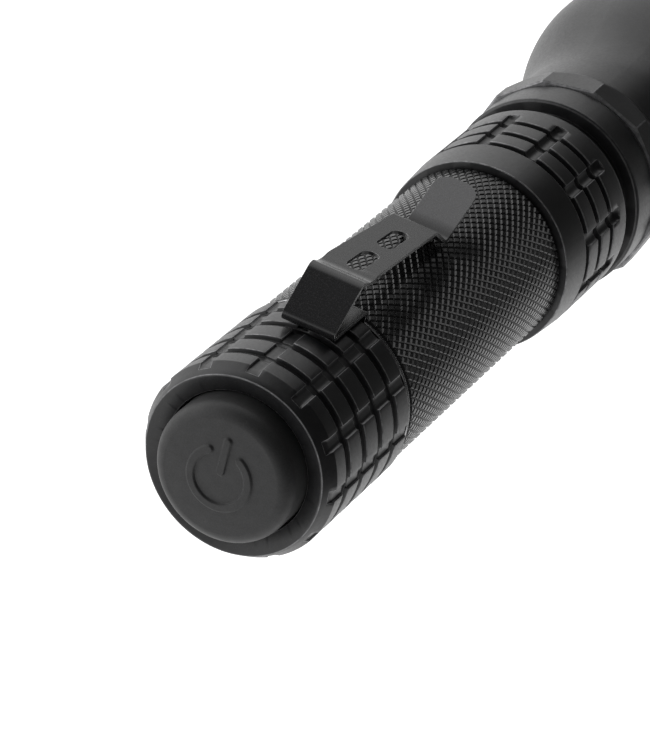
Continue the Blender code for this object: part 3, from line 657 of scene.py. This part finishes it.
def build_button_spring(surface):
    """A coil in place of the rigid CAD coil."""
    low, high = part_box("plunger_spring")
    steps = int(COIL_TURNS * 32)
    sides = 10
    bm = bmesh.new()
    rings = []
    for k in range(steps + 1):
        turn = 2.0 * math.pi * COIL_TURNS * k / steps
        middle = low.z + COIL_WIRE + (high.z - low.z - 2.0 * COIL_WIRE) * k / steps
        section = arc((COIL_RADIUS, middle), COIL_WIRE, 0.0, 360.0, sides)[:-1]
        rings.append([bm.verts.new(polar(turn, radius, height)) for radius, height in section])
    for near, far in zip(rings, rings[1:]):
        for side in range(sides):
            after = (side + 1) % sides
            bm.faces.new((near[side], near[after], far[after], far[side]))
    bm.faces.new(rings[0][::-1])
    bm.faces.new(rings[-1])
    spring = from_bmesh("button_coil", bm, surface, 60.0)
    place(spring, "tail_cap", "bright_steel", "plunger_spring")
    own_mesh(spring)


# Knurled tube

KNURL_STARTS = 70
KNURL_ROWS = 51
KNURL_DEPTH = 0.00021
KNURL_TOP = 0.60
KNURL_REAR = 0.02475
KNURL_FRONT = 0.07265


def polar(turn, radius, height):
    return (radius * math.cos(turn), radius * math.sin(turn), height)


def knurl(bm):
    """Raised diamonds between two families of helical grooves. Returns the rims at both ends."""
    step = math.pi / KNURL_STARTS
    rise = (KNURL_FRONT - KNURL_REAR) / KNURL_ROWS
    low = TUBE_RADIUS - KNURL_DEPTH
    crossings = {}
    for j in range(KNURL_ROWS + 1):
        for i in range(2 * KNURL_STARTS):
            if (i + j) % 2 == 0:
                crossings[i, j] = bm.verts.new(polar(i * step, low, at(KNURL_REAR + j * rise)))
    rims = {0: [], KNURL_ROWS: []}
    for j in range(KNURL_ROWS + 1):
        for i in range(2 * KNURL_STARTS):
            if (i + j) % 2 == 0:
                continue
            turn = i * step
            station = KNURL_REAR + j * rise
            left = bm.verts.new(polar(turn - KNURL_TOP * step, TUBE_RADIUS, at(station)))
            right = bm.verts.new(polar(turn + KNURL_TOP * step, TUBE_RADIUS, at(station)))
            west = crossings[(i - 1) % (2 * KNURL_STARTS), j]
            east = crossings[(i + 1) % (2 * KNURL_STARTS), j]
            if j in rims:
                rims[j] += [west, left, right]
            tops = {}
            for side in (-1, 1):
                if 0 <= j + side <= KNURL_ROWS:
                    top = bm.verts.new(polar(turn, TUBE_RADIUS, at(station + side * KNURL_TOP * rise)))
                    tops[side] = top
                    tip = crossings[i, j + side]
                    bm.faces.new((west, left, top, tip)).smooth = False
                    bm.faces.new((tip, top, right, east)).smooth = False
            if len(tops) == 2:
                bm.faces.new((left, tops[-1], right, tops[1])).smooth = False
            else:
                bm.faces.new((left, right, *tops.values())).smooth = False
    return rims[0], rims[KNURL_ROWS]


def build_tube(surface):
    """One closed skin: knurled barrel, shoulders, necks and bore."""
    bm = bmesh.new()
    rear, front = knurl(bm)
    base = TUBE_RADIUS - KNURL_DEPTH - 0.00004
    outline = [(base, at(KNURL_FRONT + 0.00025)), (TUBE_RADIUS - 0.0004, at(0.0730))]
    outline += [(0.0105, at(0.0730)), (0.0105, at(0.0842)), (0.0102, at(0.0845))]
    outline += [(TUBE_BORE, at(0.0845)), (TUBE_BORE, at(0.0136)), (0.0101, at(0.0136))]
    outline += [(0.0104, at(0.0139)), (0.0104, at(0.0232)), (0.0107, at(0.0235)), (0.0107, at(0.0244))]
    outline += [(TUBE_RADIUS - 0.0004, at(0.0244)), (base, at(KNURL_REAR - 0.00025))]
    rows = [front]
    for radius, height in soften(outline, 0.00010, 1, False):
        rows.append([bm.verts.new(polar(math.atan2(v.co.y, v.co.x), radius, height)) for v in front])
    start = min(range(len(rear)), key=lambda k: abs(math.atan2(rear[k].co.y, rear[k].co.x)))
    match = min(range(len(front)), key=lambda k: abs(math.atan2(front[k].co.y, front[k].co.x)))
    rear = rear[start:] + rear[:start]
    rows = [row[match:] + row[:match] for row in rows]
    for near, far in zip(rows, rows[1:]):
        for k in range(len(near)):
            after = (k + 1) % len(near)
            bm.faces.new((near[k], near[after], far[after], far[k])).smooth = True
    stitch(bm, rows[-1], rear)
    bmesh.ops.recalc_face_normals(bm, faces=bm.faces)
    mesh = bpy.data.meshes.new("knurled_tube")
    bm.to_mesh(mesh)
    bm.free()
    mesh.set_sharp_from_angle(angle=math.radians(35.0))
    tube = link_mesh("knurled_tube", mesh, surface)
    place(tube, "body", "black_anodised_knurl", "body_tube")


def stitch(bm, first, second):
    """Joins two rings of points that have different spacing."""
    def turn(vert, base):
        return (math.atan2(vert.co.y, vert.co.x) - base) % (2.0 * math.pi)

    a = b = 0
    base = math.atan2(first[0].co.y, first[0].co.x) - 1e-4
    order_a = sorted(first, key=lambda v: turn(v, base))
    order_b = sorted(second, key=lambda v: turn(v, base))
    count_a, count_b = len(order_a), len(order_b)
    while a < count_a or b < count_b:
        next_a = turn(order_a[(a + 1) % count_a], base) + (2.0 * math.pi if a + 1 >= count_a else 0.0)
        next_b = turn(order_b[(b + 1) % count_b], base) + (2.0 * math.pi if b + 1 >= count_b else 0.0)
        here_a = order_a[a % count_a]
        here_b = order_b[b % count_b]
        if b >= count_b or (a < count_a and next_a <= next_b):
            bm.faces.new((here_a, order_a[(a + 1) % count_a], here_b)).smooth = True
            a += 1
        else:
            bm.faces.new((here_a, order_b[(b + 1) % count_b], here_b)).smooth = True
            b += 1


def build_thread(name, low, high, root, crest, surface, body, slot):
    """A helical ridge whose foot is sunk into the neck, with tapered ends."""
    bm = bmesh.new()
    turns = (high - low) / THREAD_PITCH
    steps = int(turns * 72)
    rows = []
    for k in range(steps + 1):
        turn = 2.0 * math.pi * k / 72
        middle = low + (high - low) * k / steps
        grow = min(k / 18.0, (steps - k) / 18.0, 1.0)
        top = root + 0.00003 + (crest - root - 0.00003) * grow
        section = [(root - 0.00012, -0.00040), (top, -0.00013), (top, 0.00013), (root - 0.00012, 0.00040)]
        rows.append([bm.verts.new(polar(-turn, radius, middle + rise)) for radius, rise in section])
    for near, far in zip(rows, rows[1:]):
        for side in range(4):
            after = (side + 1) % 4
            bm.faces.new((near[side], near[after], far[after], far[side]))
    bm.faces.new(rows[0][::-1])
    bm.faces.new(rows[-1])
    thread = from_bmesh(name, bm, surface, 35.0)
    place(thread, body, slot)


# Pocket clip

STRIP = 0.0005
LEAF_OUTER = 0.01385
LEAF_HALF = 0.00375
BEND_FRONT = 0.0147
BEND_RADIUS = 0.00045
HUMP = (0.0204, 0.01710)
HUMP_RADIUS = 0.0020
VALLEY = (0.0496, 0.01475)
VALLEY_RADIUS = 0.00125
TONGUE_SLOPE = 24.8
TONGUE_LENGTH = 0.00926
TIP_ROUND = 0.0022
ARM_STATIONS = (0.0140, 0.0190, 0.0267, 0.0450, 0.0500)
ARM_LEFT = (0.0036, 0.0038, 0.0041, 0.0034, 0.0030)
ARM_RIGHT = (0.0038, 0.0037, 0.0032, 0.0030, 0.0031)
WINDOWS = (0.0281, 0.0375)
WINDOW_LENGTH = 0.0068
WINDOW_WIDTH = 0.0024


def clip_side(forward, outward, across):
    """A clip point, from its distances forward of the tail rim, out from the axis and across."""
    return Vector((-across, -outward, at(forward)))


def cubic(a, b, c, d, steps):
    """Points on a Bezier curve, without its first point."""
    out = []
    for k in range(1, steps + 1):
        t = k / steps
        weights = ((1 - t) ** 3, 3 * t * (1 - t) ** 2, 3 * t * t * (1 - t), t**3)
        out.append(tuple(sum(w * p[i] for w, p in zip(weights, (a, b, c, d))) for i in (0, 1)))
    return out


def clip_stations():
    """(centre line point, normal to the outer side) along the whole strip."""
    half = STRIP / 2
    leaf = LEAF_OUTER - half
    fold = BEND_RADIUS + half
    line = [(0.0241 - half, 0.0119), (0.0241 - half, 0.0128)]
    line += arc((0.0241 - half - fold, leaf - fold), fold, 0.0, 90.0, 8)
    line += [(0.0215, leaf), (0.0180, leaf), (0.0160, leaf)]
    line += arc((BEND_FRONT, leaf + fold), fold, 270.0, 126.0, 16)
    line += arc(HUMP, HUMP_RADIUS - half, 126.0, 62.0, 16)
    start = line[-1]
    turn = math.radians(62.0 - 90.0)
    lead = (start[0] + 0.0013 * math.cos(turn), start[1] + 0.0013 * math.sin(turn))
    slope = (0.01633 - 0.01798) / (0.0450 - 0.0256)
    flat_rear = (0.0258, 0.01796 - half)
    lag = (flat_rear[0] - 0.0022, flat_rear[1] - 0.00012)
    line += cubic(start, lead, lag, flat_rear, 14)
    flat_front = (0.0450, 0.01633 - half)
    steps = 24
    for k in range(1, steps):
        share = k / steps
        line.append(tuple(a + (b - a) * share for a, b in zip(flat_rear, flat_front)))
    line += arc((0.0450, 0.01633 - 0.0008), 0.0008 - half, 83.0, 45.0, 6)
    line += arc(VALLEY, VALLEY_RADIUS + half, 226.0, 294.8, 12)
    slope = math.radians(TONGUE_SLOPE)
    start = line[-1]
    reaches = [TONGUE_LENGTH * share for share in (0.15, 0.35, 0.55)]
    for k in range(13):
        reaches.append(TONGUE_LENGTH - TIP_ROUND * (1.0 - math.sin(math.pi / 2 * k / 12)))
    for reach in reaches:
        line.append((start[0] + reach * math.cos(slope), start[1] + reach * math.sin(slope)))
    return line


def clip_edges(forward, left):
    """Distances of the arm's two edges from its middle. Left is the length that is left to the tip."""
    into = min(max(1.0 - left / TIP_ROUND, 0.0), 1.0)
    cut = TIP_ROUND * (1.0 - math.sqrt(max(1.0 - into**2, 0.0)))
    near = np.interp(forward, ARM_STATIONS, ARM_LEFT)
    far = np.interp(forward, ARM_STATIONS, ARM_RIGHT)
    return near - cut, far - cut


def build_clip(surface):
    line = clip_stations()
    lengths = [0.0]
    for a, b in zip(line, line[1:]):
        lengths.append(lengths[-1] + math.hypot(b[0] - a[0], b[1] - a[1]))
    bend = next(k for k, p in enumerate(line) if p[0] < BEND_FRONT + 0.0014)
    bm = bmesh.new()
    rows = []
    for index, (forward, outward) in enumerate(line):
        before = Vector(line[max(index - 1, 0)])
        after = Vector(line[min(index + 1, len(line) - 1)])
        along = (after - before).normalized()
        normal = Vector((-along.y, along.x)) * (STRIP / 2)
        near, far = (LEAF_HALF, LEAF_HALF)
        if index >= bend:
            near, far = clip_edges(forward, lengths[-1] - lengths[index])
        spots = []
        for side, across in ((1, -near), (1, far), (-1, far), (-1, -near)):
            place_at = clip_side(forward + side * normal.x, outward + side * normal.y, across)
            spots.append(bm.verts.new(place_at))
        rows.append(spots)
    for near, far in zip(rows, rows[1:]):
        for side in range(4):
            after = (side + 1) % 4
            bm.faces.new((near[side], near[after], far[after], far[side]))
    bm.faces.new(rows[0][::-1])
    bm.faces.new(rows[-1])
    strip = from_bmesh("clip_strip", bm, surface, 45.0)
    cutter = window_cutter(surface)
    cut = strip.modifiers.new("windows", "BOOLEAN")
    cut.operation = "DIFFERENCE"
    cut.solver = "EXACT"
    cut.object = cutter
    bevel = strip.modifiers.new("edges", "BEVEL")
    bevel.width = 0.00014
    bevel.segments = 2
    bevel.limit_method = "ANGLE"
    bevel.angle_limit = math.radians(40.0)
    bake(strip)
    mark_wear_and_highlight(strip)
    weigh_normals(strip)
    bake(strip)
    bpy.data.objects.remove(cutter)
    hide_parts("clip_arm")
    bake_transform(strip)
    low = at(0.0241 - 0.00002)
    high = at(0.0241 - STRIP + 0.00002)
    outline = [(NECK_BORE, low), (TUBE_RADIUS, low), (TUBE_RADIUS, high), (NECK_BORE, high)]
    ring = lathe("clip_ring", soften(outline, 0.00012), surface, 160)
    place(ring, "clip_base", "black_spring_steel", "clip_base")


def window_cutter(surface):
    """Two round-ended cutters through the clip's flat part."""
    bm = bmesh.new()
    radius = WINDOW_WIDTH / 2
    straight = WINDOW_LENGTH - WINDOW_WIDTH
    for middle in WINDOWS:
        corners = []
        for end, first in ((0.5, 0.0), (-0.5, 180.0)):
            for step in range(13):
                turn = math.radians(first + 15.0 * step)
                along = straight * end + radius * math.sin(turn)
                spot = clip_side(middle - along, 0.0150, radius * math.cos(turn))
                corners.append(bm.verts.new(spot))
        face = bm.faces.new(corners)
        grown = bmesh.ops.extrude_face_region(bm, geom=[face])
        moved = [item for item in grown["geom"] if isinstance(item, bmesh.types.BMVert)]
        bmesh.ops.translate(bm, verts=moved, vec=(0.0, -0.005, 0.0))
    cutter = from_bmesh("clip_window_cutter", bm, surface, smooth=False)
    cutter.hide_render = True
    return cutter


# Head

HEAD_RADIUS = 0.0140
HEAD_REAR_RADIUS = 0.0136
HEAD_FLOOR = 0.0129
RING_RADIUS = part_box("head_body")[1].x
HEAD_SLOT_PHASE = 7.6
HEAD_SLOT_HALF = 0.000915
HEAD_SLOT_REAR = 0.0796
HEAD_SLOT_FRONT = 0.0917
HEAD_SCOOP = 0.01325


def head_slot_floor(across, height):
    """A round-nosed slot that runs out through the surface in a curve at its front."""
    station = TAIL_Z - height
    if station < HEAD_SLOT_REAR or station > HEAD_SLOT_FRONT:
        return 1.0
    scoop = HEAD_SCOOP + 0.00040 * (across / HEAD_SLOT_HALF) ** 2
    run = max(station - (HEAD_SLOT_FRONT - 0.0011), 0.0) / 0.0011
    return scoop + 0.0012 * (1.0 - math.sqrt(max(1.0 - run * run, 0.0)))


def build_head(surface):
    outline = [(SEAL_SEAT, at(0.0733)), (HEAD_REAR_RADIUS, at(0.0733))]
    grooves = ring_grooves(HEAD_RADIUS, HEAD_FLOOR, 0.0792, 0.00435, 0.00135, 3)
    outline += grooves[:1] + [(HEAD_FLOOR, at(0.07926)), (HEAD_FLOOR, at(0.0798))] + grooves[2:]
    stations = [0.0904, 0.0906, 0.0908, 0.0910, 0.0912, 0.0914, 0.0915, 0.0916, 0.0917, 0.09172]
    outline += [(HEAD_RADIUS, at(s)) for s in stations]
    outline += arc((HEAD_RADIUS - 0.0014, at(0.0948) + 0.0014), 0.0014, 0.0, -90.0, 8)
    outline += [(0.0124, at(0.0948)), (0.0124, at(0.0974))]
    outline += [(RING_RADIUS - 0.0003, at(0.0974)), (RING_RADIUS, at(0.0977))]
    outline += [(RING_RADIUS, at(0.1031)), (0.0123, at(0.1031))]
    outline += [(0.0123, at(0.1140)), (0.0095, at(0.1140)), (0.0095, at(0.0960))]
    outline += [(0.0060, at(0.0960)), (0.0060, at(0.0940)), (0.0109, at(0.0940))]
    outline += [(0.0109, at(0.0850)), (NECK_BORE, at(0.0850)), (NECK_BORE, at(0.0762))]
    outline += [(SEAL_SEAT, at(0.0762))]
    line = soften(outline, 0.00014)
    head = slotted(
        "head_body_shell",
        line,
        surface,
        HEAD_SLOT_PHASE,
        HEAD_SLOT_HALF,
        head_slot_floor,
        inside=10,
    )
    place(head, "body", "black_anodised_aluminium", "head_body")


# Bell, bezel and optics

FLAT_PHASE = 4.9
FLAT_CORNER = 0.01515
FLAT_END = 0.0450
WAIST_REAR = 0.0424
WAIST_RADIUS = 0.0141
FLARE_REAR = 0.0350
FLARE_FRONT = 0.0135


def build_bell(surface):
    """A twelve-sided collar with a chamfered front, a waist and a flare into the round bell."""
    rear = BELL_REAR_Z
    apothem = FLAT_CORNER * math.cos(math.pi / 12)
    line = [(0.0134, rear), (FLAT_CORNER - 0.00025, rear), (FLAT_CORNER, rear - 0.00025)]
    line.append((FLAT_CORNER, FLAT_END + 0.0004))
    chamfer = 14
    for k in range(chamfer + 1):
        share = k / chamfer
        radius = FLAT_CORNER + (WAIST_RADIUS - FLAT_CORNER) * share**1.3
        line.append((radius, FLAT_END + (WAIST_REAR - FLAT_END) * share))
    last_flat = len(line)
    steps = 18
    for k in range(steps + 1):
        share = k / steps
        swell = 0.5 - 0.5 * math.cos(math.pi * share)
        radius = WAIST_RADIUS + (BELL_RADIUS - WAIST_RADIUS) * swell
        line.append((radius, FLARE_REAR + (FLARE_FRONT - FLARE_REAR) * share))
    body = [(BELL_RADIUS, FLARE_FRONT - 0.0005), (BELL_RADIUS, 0.0114)]
    body += [(BELL_RADIUS - 0.0006, 0.0112), (BELL_RADIUS - 0.0006, 0.0102)]
    body += [(BELL_RADIUS, 0.0100), (BELL_RADIUS, BELL_FRONT), (0.0180, BELL_FRONT)]
    body += [(0.0180, 0.0150), (0.0130, 0.0327)]
    body += [(0.0130, 0.0370), (0.0126, 0.0370), (0.0126, rear - 0.0024), (0.0134, rear - 0.0024)]
    line += soften(body, 0.00014, 2, False)
    within = [0.0, 0.5, *range(3, 28, 3), 29.5]
    turns = [30.0 * flat + off for flat in range(12) for off in within]
    points = np.empty((len(line), len(turns), 3))
    for i, (radius, height) in enumerate(line):
        for j, turn in enumerate(turns):
            angle = FLAT_PHASE + turn
            reach = radius
            if 1 <= i < last_flat:
                off = math.radians((angle - FLAT_PHASE) % 30.0 - 15.0)
                inset = 0.00025 if i == 1 else 0.0
                reach = min(radius, (apothem - inset) / math.cos(off))
            spot = around(angle, reach)
            points[i, j] = (spot.x, spot.y, height)
    bell = from_grid("bell_shell", points, surface, 20.0)
    place(bell, "body", "black_anodised_aluminium", "bell_housing")


def build_bezel(surface):
    outline = [(0.0152, 0.0), (BELL_RADIUS - 0.0009, 0.0), (BELL_RADIUS, 0.0009)]
    outline += [(BELL_RADIUS, 0.0058), (BELL_RADIUS - 0.0002, 0.0060), (0.0177, 0.0060)]
    outline += [(0.0177, 0.0100), (0.0168, 0.0100), (0.0168, 0.0024), (0.0148, 0.0024), (0.0148, 0.0004)]
    bezel = lathe("bezel_ring_skin", soften(outline, 0.00014), surface, 160)
    place(bezel, "body", "black_anodised_aluminium", "bezel_ring")


def build_optics(surfaces):
    outline = [(0.0, LENS_FRONT), (LENS_RADIUS, LENS_FRONT), (LENS_RADIUS, LENS_BACK), (0.0, LENS_BACK)]
    lens = lathe("lens_disc", soften(outline, 0.00025), surfaces["coated_glass"], 128)
    place(lens, "body", "coated_glass", "lens")
    front = LENS_BACK + GAP
    opening = 0.0152
    focus = 0.0292
    deep = focus - front - 0.0007
    focal = (math.sqrt(deep**2 + opening**2) - deep) / 2.0
    hole = math.sqrt(4.0 * focal * (focus + focal - REFLECTOR_BACK))
    steps = 40
    radii = [hole + (opening - hole) * k / steps for k in range(steps + 1)]
    inner = [(r, focus + focal - r**2 / (4.0 * focal)) for r in radii]
    outer = [(r + 0.0008, z) for r, z in inner if z > front + 0.0022]
    outline = inner + [(opening, front), (LENS_RADIUS, front), (LENS_RADIUS, front + 0.0012)]
    outline += [(outer[-1][0] + 0.0001, front + 0.0012)] + outer[::-1]
    reflector = lathe("reflector_bowl", outline, surfaces["polished_reflector"], 144, 30.0)
    place(reflector, "body", "polished_reflector", "reflector")
    dome = [(0.0, DOME_BACK)] + arc((0.0, DOME_BACK), DOME_RADIUS, 0.0, -90.0, 16)[:-1]
    dome += [(0.0, DOME_BACK - DOME_RADIUS)]
    lit = lathe("led_dome_skin", dome, surfaces["led_silicone"], 48, 40.0)
    place(lit, "body", "led_silicone", "led_dome")


def build_seals(surface):
    """Smooth O-rings in place of the coarse CAD rings."""
    for name, body, node in (
        ("tail_o_ring_skin", "tail_seal", "tail_o_ring"),
        ("head_o_ring_skin", "body", "head_o_ring"),
    ):
        low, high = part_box(node)
        line = arc((SEAL_CENTRE, (low.z + high.z) / 2), SEAL_RADIUS, 0.0, 345.0, 23)
        seal = lathe(name, line, surface, 160)
        place(seal, body, "black_rubber", node)


# Stage


def build_camera():
    data = bpy.data.cameras.new("camera")
    data.lens = 201.6
    data.sensor_width = 36.0
    data.clip_start = 0.01
    data.clip_end = 20.0
    camera = bpy.data.objects.new("camera", data)
    bpy.context.scene.collection.objects.link(camera)
    right = Vector((-0.8769, -0.2174, -0.4287)).normalized()
    back = Vector((-0.2805, -0.4930, 0.8236))
    back = (back - right * back.dot(right)).normalized()
    up = back.cross(right)
    turn = Matrix((right, up, back)).transposed().to_4x4()
    camera.matrix_world = Matrix.Translation((-0.1484, -0.2630, 0.5629)) @ turn
    bpy.context.scene.camera = camera
    return right, up, back


def build_world(right, up, back):
    """A soft studio: bright behind the torch, dark on the camera's side, with panels above and beside it."""
    world = bpy.data.worlds.new("studio")
    bpy.context.scene.world = world
    g = Graph("studio", world)
    nearby = Vector((back.x, back.y, 0.0)).normalized()
    light = g.spread(g.along(nearby), 0.34, -0.22, 0.05, 1.15, "SMOOTHSTEP")
    light = g.maths("ADD", light, g.panel(up * 0.97 - back * 0.15, 16.0, 40.0, 1.3))
    light = g.maths("ADD", light, g.panel(up * 0.6 - right * 0.8 + back * 0.3, 12.0, 38.0, 0.9))
    seen = g.add("ShaderNodeLightPath").outputs["Is Camera Ray"]
    light = g.spread(seen, 0.0, 1.0, light, 1.0)
    background = g.tree.nodes["Background"]
    g.feed(background, {"Color": (1.0, 1.0, 1.0, 1.0), "Strength": light})


def build_floor():
    """A pale floor that glows a little, so that it stays pale under the dark side of the studio."""
    g = Graph("pale_floor")
    tone = g.mix(g.noise(6.0, 2.0), (0.90, 0.90, 0.90), (0.94, 0.94, 0.94))
    g.principled(Base_Color=tone, Roughness=0.9, Specular_IOR_Level=0.0)
    g.principled(Emission_Color=(1.0, 1.0, 1.0, 1.0), Emission_Strength=0.72)
    bm = bmesh.new()
    bmesh.ops.create_circle(bm, cap_ends=True, segments=96, radius=4.0)
    floor = from_bmesh("floor", bm, g.made, smooth=False)
    floor.location.z = cad_bounds[0][2] - 0.00005
    floor.visible_glossy = False
    floor.visible_diffuse = False
    floor.visible_transmission = False


def build_stage():
    scene = bpy.context.scene
    scene.view_settings.view_transform = "Standard"
    build_world(*build_camera())
    build_floor()


surfaces = make_materials()
dress_cad(surfaces)
black = surfaces["black_anodised_aluminium"]
build_tail_cap(black)
build_boot(surfaces["black_rubber"])
build_button_spring(surfaces["bright_steel"])
build_tube(surfaces["black_anodised_knurl"])
build_thread(
    "tail_thread", at(0.0231), at(0.0143), 0.0104, 0.01092, black, "body", "black_anodised_knurl"
)
build_clip(surfaces["black_spring_steel"])
build_head(black)
build_bell(black)
build_bezel(black)
build_optics(surfaces)
build_seals(surfaces["black_rubber"])
build_stage()
